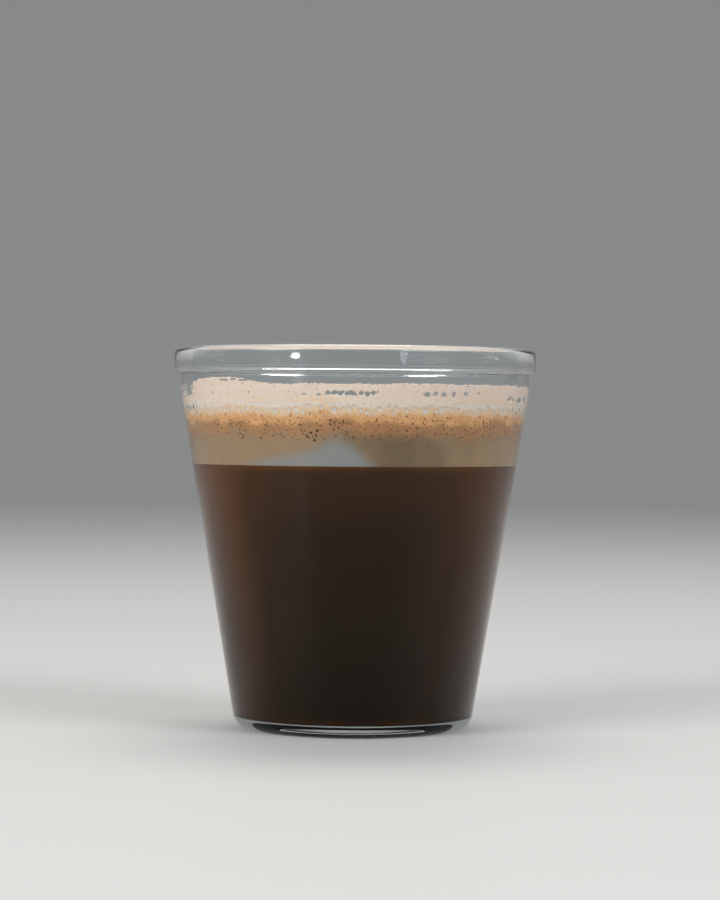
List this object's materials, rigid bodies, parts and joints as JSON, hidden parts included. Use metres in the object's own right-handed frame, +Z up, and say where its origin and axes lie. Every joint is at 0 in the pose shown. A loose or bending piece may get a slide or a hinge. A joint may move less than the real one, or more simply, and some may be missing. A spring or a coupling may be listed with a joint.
{
  "type": "glass of cappuccino",
  "caption": "Cappuccino in a tapered clear glass tumbler with a thick band round its rim: brown coffee under deep milk foam, with a skin of froth on the glass above it.",
  "frame": {"origin": "middle of the tumbler's foot, on the surface it stands on", "axes": "+Z up along the tumbler's axis; -Y is the side that faces the camera, -X is on its left"},
  "size_m": [0.088, 0.088, 0.092],
  "materials": {
    "clear_glass": "polished clear glass",
    "brown_coffee": "opaque brown coffee with milk, wet",
    "milk_foam": "fine beige milk foam, tan near its top",
    "dried_froth": "thin pale froth drying on glass"
  },
  "bodies": {
    "root": {"tumbler": "clear_glass", "coffee": "brown_coffee", "foam": "milk_foam", "froth_film": "dried_froth"}
  },
  "joints": []
}
